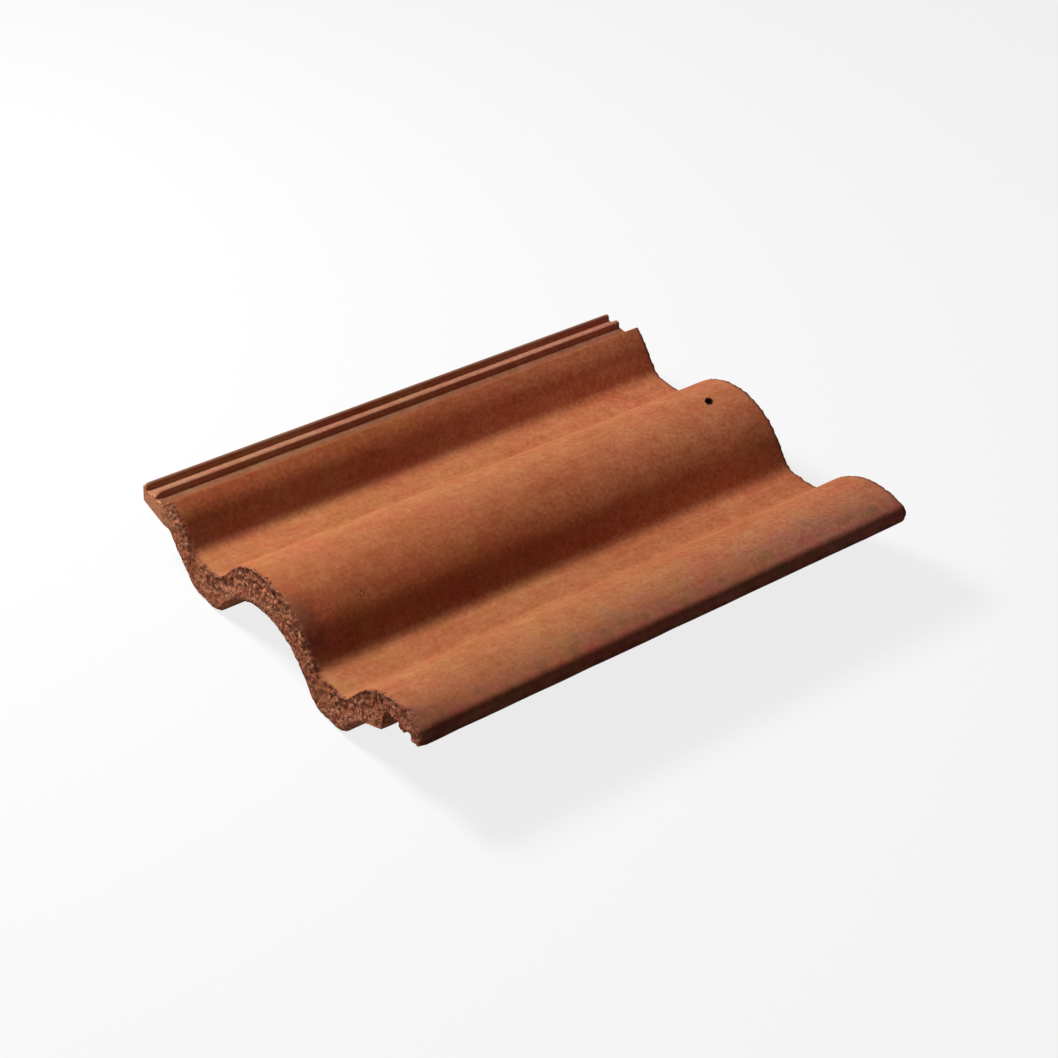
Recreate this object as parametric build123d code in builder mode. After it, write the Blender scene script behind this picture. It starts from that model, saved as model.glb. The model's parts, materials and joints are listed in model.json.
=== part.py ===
from build123d import *
import os
from math import asin, cos, degrees, radians, sin, tan

os.makedirs("parts", exist_ok=True)

# All sizes are in millimetres. X runs across the course, from the underlock to the overlock,
# Y runs up the roof, from the foot to the head, and Z is up. The tile lies on Z = 0. The sections are
# drawn with X = 0 at the underlock's edge and Y = 0 at the foot, and the finished tile is moved once.
length = 420

# Wave of rolls and pans, seen in the section
roll_height = 38
crest_radius = 60
valley_radius = 14
flank_angle = 49
pan_floor = 16.5
body_thickness = 12.5

# Underlock: two ribs and two channels below the half roll's edge
outer_rib_width = 3.2
outer_rib_height = 4.2
first_channel = 6.6
inner_rib_width = 4
inner_rib_height = 4.6
second_channel = 8.8
rib_draft = 1
rib_rounding = 1.5
lock_rounding = 0.8
lock_thickness = 10.2
half_roll_wall = 11.4
half_roll_cut = 31.5
half_roll_rounding = 2.2

# Overlock, which covers the next tile's underlock: lug, middle rib and nose
overlock_thickness = 14.5
lock_clearance = 0.8
lug_reach = 27.5
lug_width = 9
lug_drop = 6.8
lug_draft = 2.5
lug_rounding = 2
lug_root_rounding = 1.5
nose_reach = 24.5
nose_fall_angle = 12
nose_edge_rounding = 7
nose_tip_rounding = 7.5

# Foot: a thick rim whose underside is the top wave, moved down and a little aside
foot_depth = 32
foot_shift = 2.5
foot_length = 26
foot_back_angle = 45
foot_corner_rounding = 5
foot_lug_drop = 7
foot_lug_run = 19
foot_lug_rounding = 10
foot_lock_drop = 5.5

# Nibs that hang the tile on its batten, one under each pan
nib_width = 30
nib_root = 18
nib_tip = 12
nib_face_from_head = 20
nib_rounding = 2

# Nail hole through the middle roll's crest
nail_hole_diameter = 6
nail_hole_from_head = 32

# The wave, from the foot's depth up to the crests, and the width of half a roll
pan_top = foot_depth
crest_z = pan_top + roll_height
slope = tan(radians(flank_angle))
arcs = crest_radius + valley_radius
flank_run = (roll_height - arcs * (1 - cos(radians(flank_angle)))) / slope
half_roll = arcs * sin(radians(flank_angle)) + flank_run
pitch = 2 * half_roll + pan_floor
cover_width = 2 * pitch

# Places across the underlock, and the crests that follow from it
first_channel_left = outer_rib_width + rib_draft
first_channel_right = first_channel_left + first_channel
second_channel_left = first_channel_right + 2 * rib_draft + inner_rib_width
second_channel_right = second_channel_left + second_channel
half_roll_peak = second_channel_right + half_roll_wall
first_crest = half_roll_peak - half_roll_cut
middle_crest = first_crest + pitch
last_crest = middle_crest + pitch
width = last_crest + nose_reach

# Fall of the half roll just beside its peak, where the crest's arc has been cut
half_roll_fall = degrees(asin((half_roll_cut + half_roll_rounding) / crest_radius))

# Heights of the side lap, from the roll's thickness down
lock_ceiling = crest_z - overlock_thickness
lock_floor = lock_ceiling - lock_clearance - inner_rib_height
lock_bottom = lock_floor - lock_thickness
lug_left = last_crest - lug_reach
lug_right = lug_left + lug_width

# Centres of the rounded pan ends, and the length of the slope behind the foot
pan_ends = [
    first_crest + half_roll,
    middle_crest - half_roll,
    middle_crest + half_roll,
    last_crest - half_roll,
]
foot_back = (foot_depth - body_thickness) / tan(radians(foot_back_angle))


def pan_end(number, inset):
    """Corner and radius of a pan's end, on the surface that lies inset below the top."""
    radius = valley_radius + inset
    side = -1 if number % 2 == 0 else 1
    along = pan_ends[number] + side * radius * tan(radians(flank_angle / 2))
    return (along, pan_top + valley_radius - radius, radius)


def crest(centre, inset, left_fall, right_fall):
    """Corner and radius of a roll's crest, between two falls measured towards the right."""
    radius = crest_radius - inset
    lean = radians(left_fall + right_fall) / 2
    reach = radius / cos(radians(right_fall - left_fall) / 2)
    return (centre + reach * sin(lean), crest_z - crest_radius + reach * cos(lean), radius)


def lowered(corner, radius):
    """The same corner on the foot's underside, rounded to another radius."""
    return (corner[0] - foot_shift, corner[1] - foot_depth, radius)


def on_flank(corner, along, sign):
    """Height at which the flank that leaves a pan end's corner passes the place along."""
    return corner[1] + sign * (along - corner[0]) * slope


def underlock():
    """Corners of the two ribs and channels, from the tile's left edge to the half roll."""
    shoulder = crest(first_crest, 0, half_roll_fall, flank_angle)
    peak = shoulder[1] + (shoulder[0] - half_roll_peak) * tan(radians(half_roll_fall))
    return [
        (0, lock_floor + outer_rib_height, rib_rounding),
        (outer_rib_width, lock_floor + outer_rib_height, rib_rounding),
        (first_channel_left, lock_floor, lock_rounding),
        (first_channel_right, lock_floor, lock_rounding),
        (first_channel_right + rib_draft, lock_floor + inner_rib_height, rib_rounding),
        (second_channel_left - rib_draft, lock_floor + inner_rib_height, rib_rounding),
        (second_channel_left, lock_floor, lock_rounding),
        (second_channel_right, lock_floor, lock_rounding),
        (half_roll_peak, peak, half_roll_rounding),
        shoulder,
    ]


def top_wave():
    """Corners of the pans and rolls on the top surface, and of the nose's upper edge."""
    last = crest(last_crest, 0, -flank_angle, nose_fall_angle)
    nose_edge = last[1] - (width - last[0]) * tan(radians(nose_fall_angle))
    return [
        pan_end(0, 0),
        pan_end(1, 0),
        crest(middle_crest, 0, -flank_angle, flank_angle),
        pan_end(2, 0),
        pan_end(3, 0),
        last,
        (width, nose_edge, nose_edge_rounding),
    ]


def overlock():
    """Corners of the overlock's underside, which clears the next tile's ribs and channels."""
    tip = lock_floor + lock_clearance
    nose_left = cover_width + second_channel_left + lock_clearance
    rib_right = cover_width + first_channel_right - lock_clearance
    rib_left = cover_width + first_channel_left + lock_clearance
    return [
        (width, tip, nose_tip_rounding),
        (nose_left, tip, lock_rounding),
        (nose_left - rib_draft, lock_ceiling, lock_rounding),
        (rib_right + rib_draft, lock_ceiling, lock_rounding),
        (rib_right, tip, lock_rounding),
        (rib_left, tip, lock_rounding),
        (rib_left - rib_draft, lock_ceiling, lock_rounding),
        (lug_right + lug_draft, lock_ceiling, lock_rounding),
    ]


def body_underside():
    """Corners of the body's underside, from the lug back to the underlock's left edge."""
    last = pan_end(3, body_thickness)
    first = pan_end(0, body_thickness)
    lug_root = on_flank(last, lug_left, 1)
    return [
        (lug_right, lug_root - lug_drop, lug_rounding),
        (lug_left, lug_root - lug_drop, lug_rounding),
        (lug_left, lug_root, lug_root_rounding),
        last,
        pan_end(2, body_thickness),
        crest(middle_crest, body_thickness, -flank_angle, flank_angle),
        pan_end(1, body_thickness),
        first,
        (first[0] - (lock_bottom - first[1]) / slope, lock_bottom, foot_corner_rounding),
        (0, lock_bottom, lock_rounding),
    ]


def foot_underside():
    """Corners of the foot's underside, from the lug back to the underlock's left edge."""
    last = lowered(pan_end(3, 0), foot_corner_rounding)
    first = lowered(pan_end(0, 0), foot_corner_rounding)
    lug_bend = lug_right - foot_lug_run
    lug_tip = on_flank(pan_end(3, body_thickness), lug_left, 1) - lug_drop - foot_lug_drop
    lock_bend = lock_bottom - foot_lock_drop
    return [
        (lug_right, lug_tip, lug_rounding),
        (lug_bend, on_flank(last, lug_bend, 1), foot_lug_rounding),
        last,
        lowered(pan_end(2, 0), foot_corner_rounding),
        lowered(crest(middle_crest, 0, -flank_angle, flank_angle), crest_radius),
        lowered(pan_end(1, 0), foot_corner_rounding),
        first,
        (first[0] - (lock_bend - first[1]) / slope, lock_bend, foot_corner_rounding),
        (second_channel_right, lock_bend, foot_corner_rounding),
        (0, lock_bottom, lock_rounding),
    ]


def below_foot():
    """Corners of the region below the foot's underside, reaching down past the floor."""
    underside = foot_underside()
    return underside + [
        (-foot_depth, lock_bottom, 0),
        (-foot_depth, -foot_depth, 0),
        (width, -foot_depth, 0),
        (width, underside[0][1], 0),
    ]


def outline(corners):
    """Closed outline with each corner rounded to its own radius."""
    return FilletPolyline(
        *[(corner[0], corner[1]) for corner in corners],
        radius=[corner[2] for corner in corners],
        close=True,
    )


# Body: its section runs the whole length
with BuildPart() as body:
    with BuildSketch(Plane.XZ):
        with BuildLine():
            outline(underlock() + top_wave() + overlock() + body_underside())
        make_face()
    extrude(amount=length, dir=(0, 1, 0))

# Foot: a thick rim, cut back to the body's underside along a slope that follows the wave
with BuildPart() as foot:
    with BuildSketch(Plane.XZ):
        with BuildLine():
            outline(underlock() + top_wave() + overlock() + foot_underside())
        make_face()
    extrude(amount=foot_length + foot_back, dir=(0, 1, 0))
    with BuildSketch(Plane.XZ.offset(-foot_length)) as cut:
        with BuildLine():
            outline(below_foot())
        make_face()
    extrude(
        cut.sketch,
        amount=2 * foot_back,
        dir=(0, cos(radians(foot_back_angle)), sin(radians(foot_back_angle))),
        mode=Mode.SUBTRACT,
    )

# Nib: upright towards the batten, and sloping away behind it
with BuildPart() as nib:
    with BuildSketch(Plane.YZ):
        with BuildLine():
            Polyline(
                (0, 0),
                (nib_tip, 0),
                (nib_root, pan_top - body_thickness / 2),
                (0, pan_top - body_thickness / 2),
                close=True,
            )
        make_face()
    extrude(amount=nib_width / 2, both=True)
    fillet(nib.faces().sort_by(Axis.Z)[0].edges(), radius=nib_rounding)

# The tile, as one cast piece, moved so that its origin is at the middle of its base
with BuildPart() as roof_tile:
    with Locations((-width / 2, -length / 2)):
        add(body.part)
        add(foot.part)
        with Locations(
            ((pan_ends[0] + pan_ends[1]) / 2, length - nib_face_from_head),
            ((pan_ends[2] + pan_ends[3]) / 2, length - nib_face_from_head),
        ):
            add(nib.part)
        with Locations((middle_crest, length - nail_hole_from_head, crest_z)):
            Hole(radius=nail_hole_diameter / 2)

roof_tile.part.label = "roof_tile"
export_step(roof_tile.part, "parts/roof_tile.step")
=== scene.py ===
# %% [markdown]
# A concrete roof tile with two rolls, two flat pans and a ribbed side lap. The real one is extruded
# as a ribbon of stiff, pigmented mortar and cut to length with a blade, so its top is smooth and its
# ends are torn and granular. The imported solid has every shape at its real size, and this lesson adds
# what the mortar itself shows: waviness from the die, torn ends, worn edges and uneven colour.

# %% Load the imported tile
import json
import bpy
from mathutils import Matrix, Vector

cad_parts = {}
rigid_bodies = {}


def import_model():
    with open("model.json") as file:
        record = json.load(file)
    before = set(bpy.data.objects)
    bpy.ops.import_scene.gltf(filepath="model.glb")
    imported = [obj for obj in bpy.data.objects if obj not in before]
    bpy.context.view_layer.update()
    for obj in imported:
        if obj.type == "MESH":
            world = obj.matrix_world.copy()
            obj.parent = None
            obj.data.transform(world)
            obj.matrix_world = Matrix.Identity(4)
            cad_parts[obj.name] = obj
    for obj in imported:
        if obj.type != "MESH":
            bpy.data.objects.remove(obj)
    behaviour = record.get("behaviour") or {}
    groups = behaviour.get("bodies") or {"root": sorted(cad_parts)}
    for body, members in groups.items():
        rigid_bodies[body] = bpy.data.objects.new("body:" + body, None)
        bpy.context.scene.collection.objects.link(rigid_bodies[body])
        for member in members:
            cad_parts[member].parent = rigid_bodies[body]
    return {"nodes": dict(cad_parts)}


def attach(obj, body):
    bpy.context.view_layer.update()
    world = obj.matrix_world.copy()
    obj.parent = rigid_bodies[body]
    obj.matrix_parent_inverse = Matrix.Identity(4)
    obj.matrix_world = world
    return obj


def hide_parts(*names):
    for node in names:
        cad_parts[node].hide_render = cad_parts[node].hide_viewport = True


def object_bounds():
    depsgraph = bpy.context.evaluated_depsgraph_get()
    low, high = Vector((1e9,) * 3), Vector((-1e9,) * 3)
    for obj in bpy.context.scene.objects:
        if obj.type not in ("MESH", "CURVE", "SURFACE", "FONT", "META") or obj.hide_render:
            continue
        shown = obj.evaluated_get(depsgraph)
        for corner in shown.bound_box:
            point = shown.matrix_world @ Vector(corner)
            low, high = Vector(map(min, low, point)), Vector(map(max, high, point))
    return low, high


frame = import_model()
solid = frame["nodes"]["roof_tile"]
packed_box = [list(corner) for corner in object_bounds()]
print("the packed tile lies between", packed_box)

# %% [markdown]
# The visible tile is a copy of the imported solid, so that it lies where the solid lies. The solid's
# mesh is loose triangles, which would tear apart when the surface is moved. The copy's doubled
# corners are merged, and triangles that lie in one plane are joined to whole facets, which then
# take clean cuts.

# %% Copy the solid and join its facets
from math import cos, radians, sin, sqrt, tan

import bmesh
import bpy
from mathutils import Matrix


def open_piece(piece):
    """Opens one piece alone in edit mode, with all of it selected."""
    bpy.ops.object.select_all(action="DESELECT")
    bpy.context.view_layer.objects.active = piece
    piece.select_set(True)
    bpy.ops.object.mode_set(mode="EDIT")
    bpy.ops.mesh.select_mode(type="FACE")
    bpy.ops.mesh.select_all(action="SELECT")


def close_piece():
    """Leaves edit mode."""
    bpy.ops.object.mode_set(mode="OBJECT")


bpy.ops.object.select_all(action="DESELECT")
bpy.context.view_layer.objects.active = solid
solid.select_set(True)
bpy.ops.object.duplicate()
casting = bpy.context.active_object
casting.name = "tile_casting"
bpy.ops.object.parent_clear(type="CLEAR_KEEP_TRANSFORM")
open_piece(casting)
bpy.ops.mesh.customdata_custom_splitnormals_clear()
bpy.ops.mesh.remove_doubles(threshold=0.000002)
bpy.ops.mesh.dissolve_limited(angle_limit=radians(0.2))
close_piece()
print("facets of the copy:", len(casting.data.polygons))

# %% [markdown]
# Relief needs corners to move. A remesh would round the narrow ribs of the side lap, so the facets
# are cut by planes instead, which keeps every edge where it is. Planes across the tile come first,
# about one for each millimetre, while the mesh is still light.

# %% Cut the wave into narrow strips
HALF_LENGTH = 0.21
LEFT_EDGE = packed_box[0][0]
RIGHT_EDGE = packed_box[1][0]
STRIP = 0.0011
NEAR_END = 0.0002
SNAP = 0.00012


def choose_faces(piece, passes):
    """Selects the faces that pass, in edit mode."""
    bpy.ops.mesh.select_all(action="DESELECT")
    mesh = bmesh.from_edit_mesh(piece.data)
    for face in mesh.faces:
        if passes(face):
            face.select_set(True)
    mesh.select_flush_mode()
    bmesh.update_edit_mesh(piece.data)


def on_an_end(face):
    """Whether a face lies on the foot's or the head's cut end."""
    return abs(face.normal.y) > 0.99 and abs(abs(face.calc_center_median().y) - HALF_LENGTH) < NEAR_END


def cut(places, normal):
    """Cuts all that shows in edit mode by one plane at each place along the normal."""
    for place in places:
        bpy.ops.mesh.select_all(action="SELECT")
        at = tuple(place * part for part in normal)
        bpy.ops.mesh.bisect(plane_co=at, plane_no=normal, threshold=SNAP)


count = round((RIGHT_EDGE - LEFT_EDGE) / STRIP)
strips = [LEFT_EDGE + STRIP * number for number in range(1, count)]
open_piece(casting)
choose_faces(casting, on_an_end)
bpy.ops.mesh.hide(unselected=False)
cut(strips, (1, 0, 0))
bpy.ops.mesh.reveal(select=False)
close_piece()
print("facets after the strips:", len(casting.data.polygons))

# %% [markdown]
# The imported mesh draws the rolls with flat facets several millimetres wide, and strips this narrow
# would catch the light one facet at a time. Smoothing them would also shrink the rolls. The die's
# wave is known, so each corner of the weather face is lifted onto it instead: an arc over the crest,
# a straight flank, a small arc at the foot of the flank, and the flat pan.

# %% Lift the corners onto the die's wave
CRESTS = (-0.1595, -0.0095, 0.1405)
CREST_TOP = 0.070
CREST_RADIUS = 0.060
PAN_TOP = 0.032
VALLEY_RADIUS = 0.014
FLANK = radians(49)
WAVE_LEFT = -0.1256
WAVE_RIGHT = 0.1525
NEAR_WAVE = 0.0005

crest_run = CREST_RADIUS * sin(FLANK)
crest_foot = CREST_TOP - CREST_RADIUS * (1 - cos(FLANK))
valley_foot = PAN_TOP + VALLEY_RADIUS * (1 - cos(FLANK))
flank_run = (crest_foot - valley_foot) / tan(FLANK)
half_roll = crest_run + flank_run + VALLEY_RADIUS * sin(FLANK)


def wave_height(across):
    """Height of the weather face at a place across the tile."""
    run = min(abs(across - crest) for crest in CRESTS)
    if run < crest_run:
        return CREST_TOP - CREST_RADIUS + sqrt(CREST_RADIUS**2 - run**2)
    if run < crest_run + flank_run:
        return crest_foot - (run - crest_run) * tan(FLANK)
    if run < half_roll:
        return PAN_TOP + VALLEY_RADIUS - sqrt(VALLEY_RADIUS**2 - (half_roll - run) ** 2)
    return PAN_TOP


def on_wave(corner):
    """Whether a corner lies on the weather face, between the half roll and the nose."""
    across = WAVE_LEFT < corner.co.x < WAVE_RIGHT
    return across and abs(corner.co.z - wave_height(corner.co.x)) < NEAR_WAVE


lifted = [corner for corner in casting.data.vertices if on_wave(corner)]
largest = max(abs(corner.co.z - wave_height(corner.co.x)) for corner in lifted)
for corner in lifted:
    corner.co.z = wave_height(corner.co.x)
print("corners on the wave:", len(lifted), "moved by up to", round(largest * 1000, 3), "mm")

# %% [markdown]
# The nose is the long edge that laps over the next tile. Its rounding turns from the lamp into the
# shade, so wide facets show there at once. A bevel needs a sharp edge to start from, which the
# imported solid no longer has. The rounding is cut into low level strips instead, and their corners
# are set on its arc.

# %% Round the nose
NOSE_RADIUS = 0.007
NOSE_FALL = radians(12)
NOSE_STRIP = 0.0007
BELOW_ARC = 0.002
NEAR_ARC = 0.0004

nose_x = RIGHT_EDGE - NOSE_RADIUS
line_x = CRESTS[2] + CREST_RADIUS * sin(NOSE_FALL)
line_z = CREST_TOP - CREST_RADIUS * (1 - cos(NOSE_FALL))
nose_z = line_z - (nose_x - line_x) * tan(NOSE_FALL) - NOSE_RADIUS / cos(NOSE_FALL)


def from_nose(place):
    """How far a place lies from the middle of the nose's arc, or nothing if it isn't beside the arc."""
    aside = place.x - nose_x
    above = place.z - nose_z
    if aside > NOSE_RADIUS * sin(NOSE_FALL) and above > 0:
        return sqrt(aside**2 + above**2)
    return None


def beside_nose(face):
    """Whether a face lies at the nose's upper rounding."""
    centre = face.calc_center_median()
    return centre.x > nose_x and centre.z > nose_z - BELOW_ARC and not on_an_end(face)


open_piece(casting)
choose_faces(casting, beside_nose)
bpy.ops.mesh.hide(unselected=True)
nose_count = round(NOSE_RADIUS / NOSE_STRIP)
cut([nose_z + NOSE_STRIP * number for number in range(nose_count + 1)], (0, 0, 1))
bpy.ops.mesh.reveal(select=False)
close_piece()
rounded = 0
for corner in casting.data.vertices:
    reach = from_nose(corner.co)
    if reach is not None and abs(reach - NOSE_RADIUS) < NEAR_ARC:
        corner.co.x = nose_x + (corner.co.x - nose_x) * NOSE_RADIUS / reach
        corner.co.z = nose_z + (corner.co.z - nose_z) * NOSE_RADIUS / reach
        rounded += 1
print("corners on the nose's rounding:", rounded)

# %% [markdown]
# Along the tile the rows are close together at the cut ends, where the mortar is torn, and wide in
# the middle, where the die left it smooth. The two end faces are cut upright and level, so that they
# become a fine grid.

# %% Cut rows along the tile and grids on its ends
ROW = 0.0008
WIDEST_ROW = 0.012
ROW_GROWTH = 1.3
FINE_ROWS_FOOT = 8
FINE_ROWS_HEAD = 4
LEVEL = 0.001


def rows_from_end(fine_rows):
    """Distances from an end: fine rows first, then rows that grow wider."""
    distances = []
    distance = 0.0
    step = ROW
    while distance < HALF_LENGTH - WIDEST_ROW / 2:
        distance += step
        distances.append(distance)
        if len(distances) >= fine_rows:
            step = min(step * ROW_GROWTH, WIDEST_ROW)
    return distances


open_piece(casting)
choose_faces(casting, on_an_end)
bpy.ops.mesh.hide(unselected=True)
cut(strips, (1, 0, 0))
level_count = round(CREST_TOP / LEVEL)
cut([LEVEL * number for number in range(1, level_count)], (0, 0, 1))
bpy.ops.mesh.reveal(select=False)
cut([-HALF_LENGTH + distance for distance in rows_from_end(FINE_ROWS_FOOT)], (0, 1, 0))
cut([HALF_LENGTH - distance for distance in rows_from_end(FINE_ROWS_HEAD)], (0, 1, 0))
close_piece()
print("facets after the rows and grids:", len(casting.data.polygons))

# %% [markdown]
# The tile has been handled. The foot's edges are rounded, most of all at the nose and beside the
# pans, and the side lap's thin ribs have lost the corners of their ends. A bevel would round an edge
# evenly, and a sculpting brush can't be run again. Here a vertex group says how far each corner
# gives way, worked out from its place, so that the rounding swells and shrinks along the edge.

# %% Weigh corners by their place
LEAST_WEIGHT = 0.005


def rise(value, start, full):
    """Goes evenly from 0 at the start to 1 at full, which may lie on either side of the start."""
    return min(max((value - start) / (full - start), 0.0), 1.0)


def weigh(piece, name, weight_at):
    """Makes a vertex group whose weights come from each corner's place."""
    group = piece.vertex_groups.new(name=name)
    held = 0
    for corner in piece.data.vertices:
        weight = weight_at(corner.co)
        if weight > LEAST_WEIGHT:
            group.add([corner.index], min(weight, 1.0), "REPLACE")
            held += 1
    print(name, "holds", held, "corners")


def lap_share_at(across):
    """How far the relief may reach at a place across: less on the thin ribs of the side lap."""
    return 0.12 + 0.88 * rise(across, -0.139, -0.117)


def below_skin(place):
    """How deep a place lies below the weather face and the nose's side."""
    reach = from_nose(place)
    if reach is not None:
        return max(NOSE_RADIUS - reach, 0.0)
    top = wave_height(place.x)
    if place.x > line_x:
        top = line_z - (place.x - line_x) * tan(NOSE_FALL)
    return max(min(top - place.z, RIGHT_EDGE - place.x), 0.0)


for across in (LEFT_EDGE, CRESTS[1]):
    print("relief may reach", round(lap_share_at(across), 2), "of its most at", round(across, 4))

# %% Wear the foot's edges round
WORN = 0.0075
WORN_BACK = 0.022
LEAST_WORN = 0.16
WORN_SPOTS = ((-0.100, 0.011, 0.5), (0.052, 0.012, 0.5), (0.166, 0.026, 1.0))
FOOT_DEPTH = 0.032
FOOT_SHIFT = 0.0025
UNDER_WORN = 0.0045


def wear(across):
    """How far the foot's upper edge is worn round at a place across, as a share of the most."""
    share = LEAST_WORN
    for middle, reach, most in WORN_SPOTS:
        share = max(share, most * (1.0 - ((across - middle) / reach) ** 2))
    return share * lap_share_at(across)


def fallen_back(inside, round_off):
    """How far a rounded edge lies behind the end face, at a distance inside the surface it meets."""
    if inside >= round_off:
        return 0.0
    return round_off - sqrt(round_off**2 - (round_off - max(inside, 0.0)) ** 2)


def worn_edge(place):
    """Rises towards the foot's upper and lower edges and the nose's side, as a rounded edge does."""
    depth = place.y + HALF_LENGTH
    if depth > WORN_BACK:
        return 0.0
    back = fallen_back(below_skin(place), WORN * wear(place.x))
    share = rise(place.x, -0.120, -0.108) * rise(place.x, 0.112, 0.100)
    above_under = place.z - wave_height(place.x + FOOT_SHIFT) + FOOT_DEPTH
    if share > 0 and above_under < UNDER_WORN:
        back = max(back, fallen_back(above_under, UNDER_WORN * share))
    return back / WORN * (1.0 - depth / WORN_BACK)


weigh(casting, "worn_edge", worn_edge)

# %% Wear the ribs' ends
RIB_ROOT = 0.0501
RIB_RISE = 0.0046
RIBS_RIGHT = -0.146
BETWEEN_RIBS = -0.156
INNER_RIB_WORN = (0.60, 0.007)
OUTER_RIB_WORN = (0.30, 0.004)


def rib_ends(place):
    """Rises up the side lap's ribs and fades out behind the foot, sooner on the outer rib."""
    if place.x > RIBS_RIGHT or place.z < RIB_ROOT:
        return 0.0
    most, reach = INNER_RIB_WORN if place.x > BETWEEN_RIBS else OUTER_RIB_WORN
    behind = max(0.0, 1.0 - (place.y + HALF_LENGTH) / reach)
    return most * behind**1.5 * (place.z - RIB_ROOT) / RIB_RISE


weigh(casting, "rib_ends", rib_ends)

# %% [markdown]
# The blade tears the stiff mortar, so an end is a field of grains with pits between them. The groups
# for this reach only a few millimetres behind each end, and they are weaker where the edge is worn,
# because wear takes the grains off. One more group lets the die's waver reach the whole tile, apart
# from where it rests on the floor.

# %% Weigh the torn ends, the foot's rim and the die's waver
TEAR_BACK_FOOT = 0.0034
TEAR_BACK_HEAD = 0.0026
TEAR_FALL = 1.4
RIM = 0.003
HALF_ROLL_EDGE = -0.130
LAP_EDGE = -0.136
LAP_WAVER = 0.3
RESTING = 0.004


def near_foot(place):
    """Full on the foot's end, gone behind its edge, and weaker towards the underside."""
    underside = 1.0 - 0.65 * rise(below_skin(place), 0.012, 0.024)
    smooth = 1.0 - 0.7 * worn_edge(place)
    at_nose = 1.0 - 0.5 * rise(place.x, 0.140, 0.150)
    behind = max(0.0, 1.0 - (place.y + HALF_LENGTH) / TEAR_BACK_FOOT)
    return smooth * at_nose * lap_share_at(place.x) * underside * behind**TEAR_FALL


def near_head(place):
    """Full on the head's end and gone behind its edge."""
    behind = max(0.0, 1.0 - (HALF_LENGTH - place.y) / TEAR_BACK_HEAD)
    return lap_share_at(place.x) * behind**TEAR_FALL


def foot_rim(place):
    """Full on the foot's upper edge and gone 3 mm away from it."""
    away = max(place.y + HALF_LENGTH, below_skin(place))
    return max(0.0, 1.0 - away / RIM) if place.x > HALF_ROLL_EDGE else 0.0


def everywhere(place):
    """Full all over, but weaker on the thin ribs of the side lap and gone where the tile rests."""
    return min(place.z / RESTING, LAP_WAVER if place.x < LAP_EDGE else 1.0)


weigh(casting, "foot_end", near_foot)
weigh(casting, "head_end", near_head)
weigh(casting, "foot_rim", foot_rim)
weigh(casting, "die_face", everywhere)

# %% [markdown]
# The finish has to know where the mortar is torn. It could read a corner's distance from the end,
# but the ends are about to be moved, and a fresh bite would then look like skin. Each corner keeps
# its share as an attribute instead, noted while the ends are still flat.

# %% Keep the shares that the finish reads
CHANNEL_LEFT = 0.121
CHANNEL_RIGHT = 0.141
CHANNEL_TOP = 0.0565
TORN_BACK = 0.0035
CHANNEL_BACK = 0.024
RIM_DEPTH = 0.007
RIM_LEFT = -0.128


def torn_at(place):
    """Full on the cut ends, gone behind them, and reaching far back into the overlock's channel."""
    depth = HALF_LENGTH - abs(place.y)
    share = max(0.0, 1.0 - depth / TORN_BACK)
    if place.y < 0 and CHANNEL_LEFT < place.x < CHANNEL_RIGHT and place.z < CHANNEL_TOP:
        share = max(share, 1.0 - depth / CHANNEL_BACK)
    return share


def rim_at(place):
    """Full at the skin's edge and gone 7 mm below it."""
    return max(0.0, 1.0 - below_skin(place) / RIM_DEPTH) if place.x > RIM_LEFT else 0.0


def note(piece, name, share_at):
    """Keeps a share for each corner, which the finish reads."""
    shares = piece.data.attributes.new(name, "FLOAT", "POINT")
    for corner in piece.data.vertices:
        shares.data[corner.index].value = share_at(corner.co)
    print(name, "is kept for", len(piece.data.vertices), "corners")


note(casting, "torn_share", torn_at)
note(casting, "rim_share", rim_at)

# %% [markdown]
# Displace modifiers move the corners of a group. The wear comes first, straight along the tile or
# straight down. A cloud texture 35 mm wide then gives the die's waver, small clouds bite the ends,
# and a cell texture parts the grains. Where two faces of an edge move in two directions, thorns can
# grow, so a little smoothing at the foot's rim ends it.

# %% Move the corners
def wear_off(piece, group, direction, distance):
    """Moves the corners of a group straight along one axis."""
    step = piece.modifiers.new(group, "DISPLACE")
    step.direction = direction
    step.strength = distance
    step.mid_level = 0.0
    step.vertex_group = group
    bpy.ops.object.modifier_apply(modifier=group)
    print(group, "is worn by up to", abs(distance))


def relief(piece, name, kind, size, strength, middle, group, settings):
    """Moves the corners of a group by a procedural texture, along their normals."""
    texture = bpy.data.textures.new(name, type=kind)
    texture.noise_scale = size
    for setting, value in settings.items():
        setattr(texture, setting, value)
    step = piece.modifiers.new(name, "DISPLACE")
    step.texture = texture
    step.texture_coords = "LOCAL"
    step.strength = strength
    step.mid_level = middle
    step.vertex_group = group
    bpy.ops.object.modifier_apply(modifier=name)
    print(name, "reaches", strength)


# Name, pattern, its size, the reach, the level that stays, the group and the pattern's settings
RELIEFS = [
    ("die_waver", "CLOUDS", 0.035, 0.0007, 0.5, "die_face", {"noise_depth": 2}),
    ("foot_bites", "CLOUDS", 0.0045, -0.0021, 0.15, "foot_end", {"noise_depth": 2, "contrast": 1.6}),
    ("foot_grains", "VORONOI", 0.0030, -0.0015, 0.05, "foot_end", {"contrast": 1.0}),
    ("head_bites", "CLOUDS", 0.0050, -0.0008, 0.45, "head_end", {"noise_depth": 1, "contrast": 1.6}),
    ("head_grains", "VORONOI", 0.0026, -0.0005, 0.1, "head_end", {"contrast": 1.0}),
]

bpy.context.view_layer.objects.active = casting
wear_off(casting, "worn_edge", "Y", WORN)
wear_off(casting, "rib_ends", "Z", -RIB_RISE)
for row in RELIEFS:
    relief(casting, *row)

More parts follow.
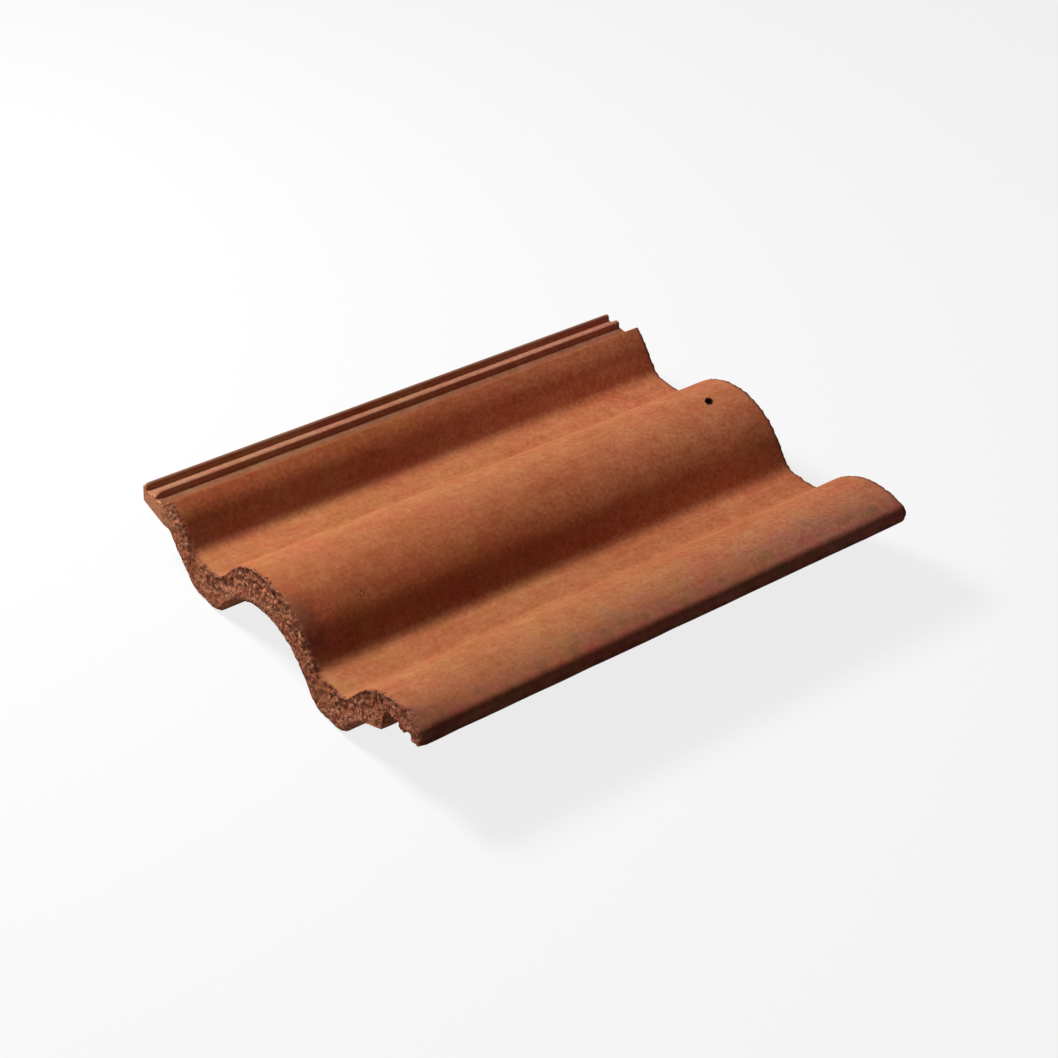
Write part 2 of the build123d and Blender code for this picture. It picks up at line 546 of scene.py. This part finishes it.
soften = casting.modifiers.new("soften", "SMOOTH")
soften.factor = 0.5
soften.iterations = 2
soften.vertex_group = "foot_rim"
bpy.ops.object.modifier_apply(modifier="soften")

bpy.ops.object.select_all(action="DESELECT")
casting.select_set(True)
bpy.ops.object.shade_smooth_by_angle(angle=radians(50))
print("triangles of the tile:", sum(len(face.vertices) - 2 for face in casting.data.polygons))

# %% [markdown]
# A finish is a sum of patterns, so it reads best as sums. This small class wraps a socket of a
# material, and each operator adds one Math node. All other nodes come from one method of a second
# class, which holds a material's or a sky's nodes.

# %% Shader sums
class Wire:
    """A socket of a finish, on which sums and products add Math nodes."""

    def __init__(self, finish, socket):
        self.finish = finish
        self.socket = socket

    def __add__(self, other):
        return self.finish.sum("ADD", self, other)

    def __radd__(self, other):
        return self.finish.sum("ADD", other, self)

    def __sub__(self, other):
        return self.finish.sum("SUBTRACT", self, other)

    def __rsub__(self, other):
        return self.finish.sum("SUBTRACT", other, self)

    def __mul__(self, other):
        return self.finish.sum("MULTIPLY", self, other)

    def __rmul__(self, other):
        return self.finish.sum("MULTIPLY", other, self)


class Finish:
    """A material or a sky that is mixed from nodes one by one."""

    def __init__(self, owner):
        self.owner = owner
        owner.use_nodes = True
        self.tree = owner.node_tree
        self.tree.nodes.clear()

    def node(self, kind, settings=None, sockets=None, output=0):
        """Adds a node, sets it up, fills or links its sockets, and returns one of its outputs."""
        made = self.tree.nodes.new("ShaderNode" + kind)
        for name, value in (settings or {}).items():
            if name == "stops":
                for number, (place, colour) in enumerate(value):
                    elements = made.color_ramp.elements
                    stop = elements[number] if number < 2 else elements.new(place)
                    stop.position = place
                    stop.color = (*colour, 1.0)
            else:
                setattr(made, name, value)
        for name, value in (sockets or {}).items():
            if isinstance(value, Wire):
                self.tree.links.new(value.socket, made.inputs[name])
            else:
                made.inputs[name].default_value = value
        return Wire(self, made.outputs[output]) if made.outputs else made

    def sum(self, operation, first, second):
        """One Math node."""
        return self.node("Math", {"operation": operation}, {0: first, 1: second})


print("shader sums are ready")

# %% [markdown]
# A finish also needs the same few patterns again and again: a soft cloud, a fade between two
# limits, a band with soft sides, and one colour laid over another or multiplied into it. Each is one
# short function, so that the recipe of the concrete below reads like a recipe.

# %% Patterns and mixes
def cloud(place, scale, detail, roughness):
    """A soft cloud pattern around 0.5."""
    sockets = {"Vector": place, "Scale": scale, "Detail": detail, "Roughness": roughness}
    return place.finish.node("TexNoise", {}, sockets)


def stretch(place, along):
    """Scales the place on the tile along each axis, which stretches a pattern."""
    return place.finish.node("VectorMath", {"operation": "MULTIPLY"}, {0: place, 1: along})


def fade(value, first, second, start=0.0, end=1.0):
    """A smooth change from start at the first limit to end at the second, which may be the lower."""
    settings = {"interpolation_type": "SMOOTHSTEP"}
    sockets = {"Value": value, "From Min": first, "From Max": second, "To Min": start, "To Max": end}
    return value.finish.node("MapRange", settings, sockets)


def band(value, start, full, falling, end):
    """Rises from start to full and falls again to nothing at end."""
    return fade(value, start, full) * fade(value, end, falling)


def cover(share, under, colour):
    """Lays a colour over another by a share from 0 to 1."""
    over = colour if isinstance(colour, Wire) else (*colour, 1.0)
    return share.finish.node("Mix", {"data_type": "RGBA"}, {0: share, 6: under, 7: over}, output=2)


def tint(share, under, factors):
    """Multiplies a colour by three factors, by a share from 0 to 1."""
    by = factors if isinstance(factors, Wire) else (*factors, 1.0)
    settings = {"data_type": "RGBA", "blend_type": "MULTIPLY"}
    return share.finish.node("Mix", settings, {0: share, 6: under, 7: by}, output=2)


print("patterns and mixes are ready")

# %% [markdown]
# The mortar is coloured through and through with iron oxide, so there is one concrete. On the
# weather face it shows broad clouds of red and orange, a fine mottle, and faint streaks along the
# pull of the die. An image could hold this, but a sum of noise patterns has no edge or seam, and it
# is driven by the place on the tile, so that it is fixed to it.

# %% Mix the pigment
FOOT_PART = (0.17, -0.10)
HEAD_PART = (-0.05, 0.20)

concrete = Finish(bpy.data.materials.new("red_brown_concrete"))
place = concrete.node("TexCoord", output="Object")
across, along, level = [concrete.node("SeparateXYZ", {}, {0: place}, output=axis) for axis in "XYZ"]
foot_part = fade(along, *FOOT_PART)
clouds = cloud(place, 26.0, 2.0, 0.5) - 0.5
blotches = cloud(place, 95.0, 3.0, 0.55) - 0.5
mottle = cloud(place, 330.0, 4.0, 0.7) - 0.5
streaks = cloud(stretch(place, (260.0, 14.0, 260.0)), 1.0, 2.0, 0.6) - 0.5
shade = band(across, -0.010, 0.030, 0.045, 0.055) + band(across, -0.136, -0.125, -0.105, -0.095)
coarse = 0.9 + 0.5 * shade + 0.3 * fade(along, *HEAD_PART)
tone = 0.5 + 0.45 * clouds + 0.5 * blotches + coarse * mottle + 0.3 * streaks

OXIDE = [
    (0.20, (0.413, 0.116, 0.043)),
    (0.80, (0.610, 0.251, 0.111)),
    (0.50, (0.517, 0.178, 0.071)),
]
pigment = concrete.node("ValToRGB", {"stops": OXIDE}, {0: tone})
drift = cloud(place, 34.0, 2.0, 0.5) + 0.6 * cloud(place, 240.0, 3.0, 0.65) - 0.3
ochre = fade(drift, 0.50, 0.72) * (0.35 + 0.65 * foot_part)
pigment = tint(ochre, pigment, (0.97, 1.08, 0.92))
pigment = tint(fade(drift, 0.50, 0.28), pigment, (1.02, 0.88, 0.98))
pigment = tint(fade(along, *HEAD_PART), pigment, (1.16, 1.08, 1.16))
print("nodes for the pigment:", len(concrete.tree.nodes))

# %% [markdown]
# Sand shows through the skin as small pale and dark specks. A cell texture gives them: the distance
# from a cell's middle draws the speck, and the cell's own random colour picks the few that show.

# %% Scatter sand in the skin
SAND_SCALE = 420.0

sand = concrete.node("TexVoronoi", {"feature": "F1"}, {"Vector": place, "Scale": SAND_SCALE})
sand_lot = concrete.node(
    "TexVoronoi", {"feature": "F1"}, {"Vector": place, "Scale": SAND_SCALE}, output="Color"
)
sand_draw = concrete.node("SeparateColor", {}, {0: sand_lot})
speck = fade(sand, 0.34, 0.20)
pale_specks = speck * fade(sand_draw, 0.95, 0.98)
dark_specks = speck * fade(sand_draw, 0.08, 0.04)
skin = cover(0.20 * pale_specks, pigment, (0.72, 0.42, 0.24))
skin = cover(0.40 * dark_specks, skin, (0.16, 0.045, 0.022))
print("nodes with the sand:", len(concrete.tree.nodes))

# %% [markdown]
# The flanks that face the nose, away from the lamp, are darker and redder with painted shade.
# Weather has left the last roll greyer, with patches of pink and olive. Painting this by hand would
# need an image, so each region is a band across the tile instead, and a cloud makes its border ragged.
# region is a band across the tile instead, and a cloud makes its border ragged.

# %% Paint shade into the flanks and grey the last roll
# Painted shade: the flanks that face away from the lamp are multiplied darker and redder.
flank_shade = band(across, -0.136, -0.130, -0.106, -0.098) + band(across, -0.030, 0.030, 0.042, 0.050)
skin = tint(flank_shade * (0.25 + 0.75 * foot_part), skin, (0.93, 0.72, 0.66))
grimy = fade(across + 0.06 * clouds + 0.03 * blotches, 0.140, 0.158)
skin = tint(grimy, skin, (0.82, 0.82, 0.95))
patches = cloud(place, 75.0, 2.0, 0.5)
skin = tint(grimy * fade(patches, 0.52, 0.66), skin, (1.04, 0.82, 0.98))
skin = tint(grimy * fade(patches, 0.48, 0.34), skin, (0.78, 0.90, 0.76))
print("nodes with the last roll:", len(concrete.tree.nodes))

# %% [markdown]
# Two small marks belong to this one tile: a dark stain low on the middle roll's flank, at the foot,
# and a pit on the same roll with a pale spot in it, round which a dark ring is the pit's painted
# shadow. The mesh's rows are too wide there to hold the pit, so both marks are colour, and the pit
# gets a little bump at the end.

# %% Stain and pit the middle roll, and paint the pit's shadow
PIT = (0.0243, -0.1575, 0.0581)

stain = fade(across + 0.03 * blotches, 0.004, 0.022) * fade(across, 0.048, 0.036)
stain = stain * fade(along + 0.03 * blotches, -0.188, -0.207)
skin = cover(0.42 * stain, skin, (0.110, 0.050, 0.052))
from_pit = concrete.node("VectorMath", {"operation": "DISTANCE"}, {0: place, 1: PIT}, output="Value")
pit = fade(from_pit + 0.008 * mottle, 0.0034, 0.0020)
pale_spot = fade(from_pit + 0.004 * mottle, 0.0018, 0.0010)
# Painted shadow: a dark ring round the pale spot stands in for the shade inside the pit.
skin = cover(0.4 * pit, skin, (0.120, 0.036, 0.020))
skin = cover(0.8 * pale_spot, skin, (0.620, 0.330, 0.250))
print("nodes with the stain and the pit:", len(concrete.tree.nodes))

# %% [markdown]
# The flanks' feet and the nose's side, which the lamp hardly reaches, are darkened with painted
# shade, and the last roll's slope to the nose is darker near the foot. Dust stays on the upper part
# of the last roll and in the side lap, which is paler. The lap's second channel, the half roll's wall
# and peak, and the lap's outer edge are darkened with painted shade.

# %% Paint shade into the flanks' feet, the nose and the side lap, and dust the last roll and the lap
corner_share = fade(across + 0.03 * blotches, 0.138, 0.158) * fade(along, -0.160, -0.198)
skin = tint(corner_share, skin, (0.72, 0.66, 0.78))
# Painted shade at the feet of the flanks, stronger towards the foot.
low = band(across, -0.122, -0.112, -0.102, -0.096) + band(across, 0.028, 0.039, 0.046, 0.054)
skin = tint(low * (0.10 + 0.90 * foot_part), skin, (0.70, 0.68, 0.80))
# Painted shade on the nose's side, which faces away from the lamp, darkest low down.
nose = fade(across + 0.02 * blotches, 0.1550, 0.1630)
nose_top = fade(level + 0.02 * blotches, 0.0500, 0.0620)
skin = tint(nose, skin, cover(nose_top, (0.12, 0.09, 0.14, 1.0), (0.88, 0.74, 0.76)))
dusty = fade(across, 0.110, 0.150) * fade(along + 0.1 * clouds, -0.10, 0.18, 0.15, 0.5)
skin = tint(dusty, skin, (0.94, 1.14, 1.60))
lap = fade(across, -0.1310, -0.1350)
skin = tint(lap, skin, (0.90, 1.13, 1.60))
# Painted shade in the lap's second channel and over the half roll's wall and peak.
skin = tint(band(across, -0.1480, -0.1455, -0.1290, -0.1255), skin, (0.60, 0.53, 0.47))
# Painted shade on the lap's outer rib.
skin = cover(0.75 * fade(across, -0.1605, -0.1625), skin, (0.20, 0.085, 0.050))
print("nodes for the skin:", len(concrete.tree.nodes))

# %% [markdown]
# The torn ends are rougher and show grains of their own colours, pink, ochre and dark brown, with
# pits between them that are painted dark as shade. Close under the skin the core is darker, and at
# the side lap its end is a bright, clean orange, which also stands in for the light it catches. The
# core is mixed as a whole colour of its own first.

# %% Mix the torn core
GRAINS = [
    (0.05, (0.464, 0.116, 0.065)),
    (0.35, (0.622, 0.192, 0.098)),
    (0.70, (0.702, 0.258, 0.134)),
    (0.93, (0.762, 0.348, 0.200)),
]

ragged = cloud(place, 330.0, 3.0, 0.6)
grain_tone = concrete.node("ValToRGB", {"stops": GRAINS}, {0: sand_draw})
gaps = fade(sand, 0.45, 0.80)
shaded_pits = fade(cloud(place, 560.0, 3.0, 0.65), 0.47, 0.35)
shaded_pits = concrete.sum("MAXIMUM", 0.4 * gaps, shaded_pits)
# Painted shade: the pits between the grains are laid over in a near black.
core = cover(0.80 * shaded_pits, grain_tone, (0.110, 0.026, 0.016))
# Partly painted light: the lap's end is brightened to a clean orange for the light it catches.
lap_end = fade(across + 0.008 * (ragged - 0.5), -0.138, -0.144)
core = cover(0.75 * lap_end, core, (0.88, 0.330, 0.165))
core = cover(0.4 * fade(across, -0.112, -0.136), core, (0.75, 0.320, 0.150))
rim_share = concrete.node("Attribute", {"attribute_name": "rim_share"}, output="Fac")
core = cover(fade(rim_share + 0.5 * (ragged - 0.5), 0.2, 0.8, 0.0, 0.5), core, (0.150, 0.045, 0.034))
print("nodes with the torn core:", len(concrete.tree.nodes))

# %% [markdown]
# A ragged line parts the torn core from the skin. The blade has smeared mortar over the core beside
# the pans and round the nose, so the core shows less there. At the head the skin's edge is darkened
# with painted shade. The nail hole was punched through the wet mortar, and its mouth is drawn out;
# its inside is painted near black as shade.

# %% Lay the torn core over the ends and paint shade at the head's edge and into the nail hole
NAIL_HOLE = (CRESTS[1], 0.178, 0.0)

torn = concrete.node("Attribute", {"attribute_name": "torn_share"}, output="Fac")
torn = fade(torn + 1.9 * (ragged - 0.5), 0.45, 0.85)
near_pan = band(across, -0.112, -0.104, -0.096, -0.086) + band(across, 0.040, 0.048, 0.056, 0.066)
smear = near_pan * fade(level + 0.03 * (ragged - 0.5), 0.006, 0.022)
wrapped = fade(across + 0.02 * (ragged - 0.5), 0.146, 0.156)
smear = smear + 1.2 * wrapped * fade(rim_share + 0.6 * (ragged - 0.5), 0.35, 0.80)
torn = torn * (1 - 0.75 * smear)
# Painted shade along the skin's edge at the head.
head_edge_shade = fade(along + 0.002 * (ragged - 0.5), 0.2068, 0.2092)
skin = cover(0.55 * head_edge_shade, skin, (0.115, 0.045, 0.032))
colour = cover(torn, skin, core)

from_hole = concrete.node("VectorMath", {"operation": "SUBTRACT"}, {0: place, 1: NAIL_HOLE})
turned = {"Vector": from_hole, "Angle": radians(-49)}
from_hole = concrete.node("VectorRotate", {"rotation_type": "Z_AXIS"}, turned)
from_hole = stretch(from_hole, (1.0, 0.66, 0.0))
from_hole = concrete.node("VectorMath", {"operation": "LENGTH"}, {0: from_hole}, output="Value")
# Painted shade: the nail hole's inside is laid over in near black.
hole_shade = fade(from_hole + 0.002 * (ragged - 0.5), 0.0036, 0.0028)
colour = cover(0.96 * hole_shade, colour, (0.014, 0.003, 0.002))
print("nodes with the torn ends:", len(concrete.tree.nodes))

# %% [markdown]
# Concrete is dull, yet the pressed skin is a little smoother than the torn ends. Bump nodes carry
# what is too fine for the mesh: sand under the skin, the pits of the ends and the small pit.

# %% Give the concrete its roughness and relief
fine_sand = cloud(place, 900.0, 4.0, 0.7)
skin_height = 0.6 * fine_sand + 0.6 * mottle - 0.5 * dark_specks - 0.6 * pit
core_height = (0.3 * fine_sand - 1.0 * shaded_pits - 0.6 * sand) * (1 - 0.6 * lap)
height = concrete.node("Mix", {"data_type": "FLOAT"}, {0: torn, 2: 0.35 * skin_height, 3: core_height})
surface = concrete.node(
    "BsdfPrincipled",
    {},
    {
        "Base Color": colour,
        "Roughness": fade(mottle + 0.3 * torn, -0.2, 0.4, 0.80, 0.95),
        "Normal": concrete.node("Bump", {}, {"Strength": 0.8, "Distance": 0.0006, "Height": height}),
        "Specular IOR Level": 0.06,
    },
)
concrete.node("OutputMaterial", {}, {"Surface": surface})
casting.data.materials.clear()
casting.data.materials.append(concrete.owner)
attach(casting, "root")
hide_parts("roof_tile")
print("nodes of the concrete:", len(concrete.tree.nodes))

# %% [markdown]
# The studio is a pale floor under a pale sky. If they were white to every ray, they would light the
# tile from all sides and wash out its rolls. So rays from the camera, from gloss and through glass
# see white, and the rays that light the tile see a plain grey floor and a dim sky. The white floor
# is mostly glow and a little paint, so that it still takes the tile's soft shadow.

# %% Build the floor and the sky
WHITE = (1.0, 1.0, 1.0, 1.0)


def shown(finish):
    """1 for rays from the camera, from gloss and through glass, and 0 for all others."""
    kinds = ("Is Camera Ray", "Is Glossy Ray", "Is Transmission Ray")
    camera_ray, glossy_ray, glass_ray = [finish.node("LightPath", output=kind) for kind in kinds]
    return finish.sum("MAXIMUM", finish.sum("MAXIMUM", camera_ray, glossy_ray), glass_ray)


bpy.ops.mesh.primitive_plane_add(size=8.0, location=(0.0, 0.0, 0.0))
floor = bpy.context.active_object
floor.name = "studio_floor"
paper = Finish(bpy.data.materials.new("pale_floor"))
matt = paper.node("BsdfDiffuse", {}, {"Color": (0.3, 0.3, 0.3, 1.0)})
white = paper.node("BsdfDiffuse", {}, {"Color": (0.9, 0.9, 0.9, 1.0)})
glow = paper.node("Emission", {}, {"Color": WHITE, "Strength": 1.0})
bright = paper.node("MixShader", {}, {0: 0.82, 1: white, 2: glow})
either_floor = paper.node("MixShader", {}, {0: shown(paper), 1: matt, 2: bright})
paper.node("OutputMaterial", {}, {"Surface": either_floor})
floor.data.materials.append(paper.owner)

sky = Finish(bpy.data.worlds.new("studio_sky"))
bpy.context.scene.world = sky.owner
dim = sky.node("Background", {}, {"Color": WHITE, "Strength": 0.075})
clear = sky.node("Background", {}, {"Color": WHITE, "Strength": 1.0})
either_sky = sky.node("MixShader", {}, {0: shown(sky), 1: dim, 2: clear})
sky.node("OutputWorld", {}, {"Surface": either_sky})
print("floor and sky are in place")

# %% [markdown]
# In the photograph the flanks that face the nose lie in shade and the pans are bright, so one large
# soft lamp stands on the underlock's side, towards the foot and about as high as it is far away. The
# camera stands off the corner between the foot and the nose and looks down by 37 degrees.
# Its lens comes from the focal length in pixels that was fitted to the tile's edges.

# %% Place the lamp and the camera
FRAME_PIXELS = 1058
FOCAL_PIXELS = 2327
SENSOR = 36.0
BEARING = radians(49.16)
LOOK_DOWN = radians(36.65)
ROLL = radians(4.49)
CAMERA_PLACE = (0.9991, -0.8591, 1.0120)
LAMP_PLACE = (-0.812, -0.522, 1.080)

bpy.ops.object.light_add(type="AREA", location=LAMP_PLACE)
lamp = bpy.context.active_object
lamp.name = "soft_lamp"
lamp.data.shape = "DISK"
lamp.data.size = 0.42
lamp.data.energy = 20.6
lamp.rotation_mode = "QUATERNION"
lamp.rotation_quaternion = lamp.location.to_track_quat("Z", "Y")

bpy.ops.object.camera_add(location=CAMERA_PLACE)
camera = bpy.context.active_object
camera.name = "photo_camera"
camera.data.lens = SENSOR * FOCAL_PIXELS / FRAME_PIXELS
turn = Matrix.Rotation(BEARING, 3, "Z") @ Matrix.Rotation(radians(90) - LOOK_DOWN, 3, "X")
camera.rotation_euler = (turn @ Matrix.Rotation(ROLL, 3, "Z")).to_euler()
camera.data.clip_start = 0.05
bpy.context.scene.camera = camera
bpy.context.scene.view_settings.view_transform = "Standard"
print("camera stands at", tuple(camera.location))
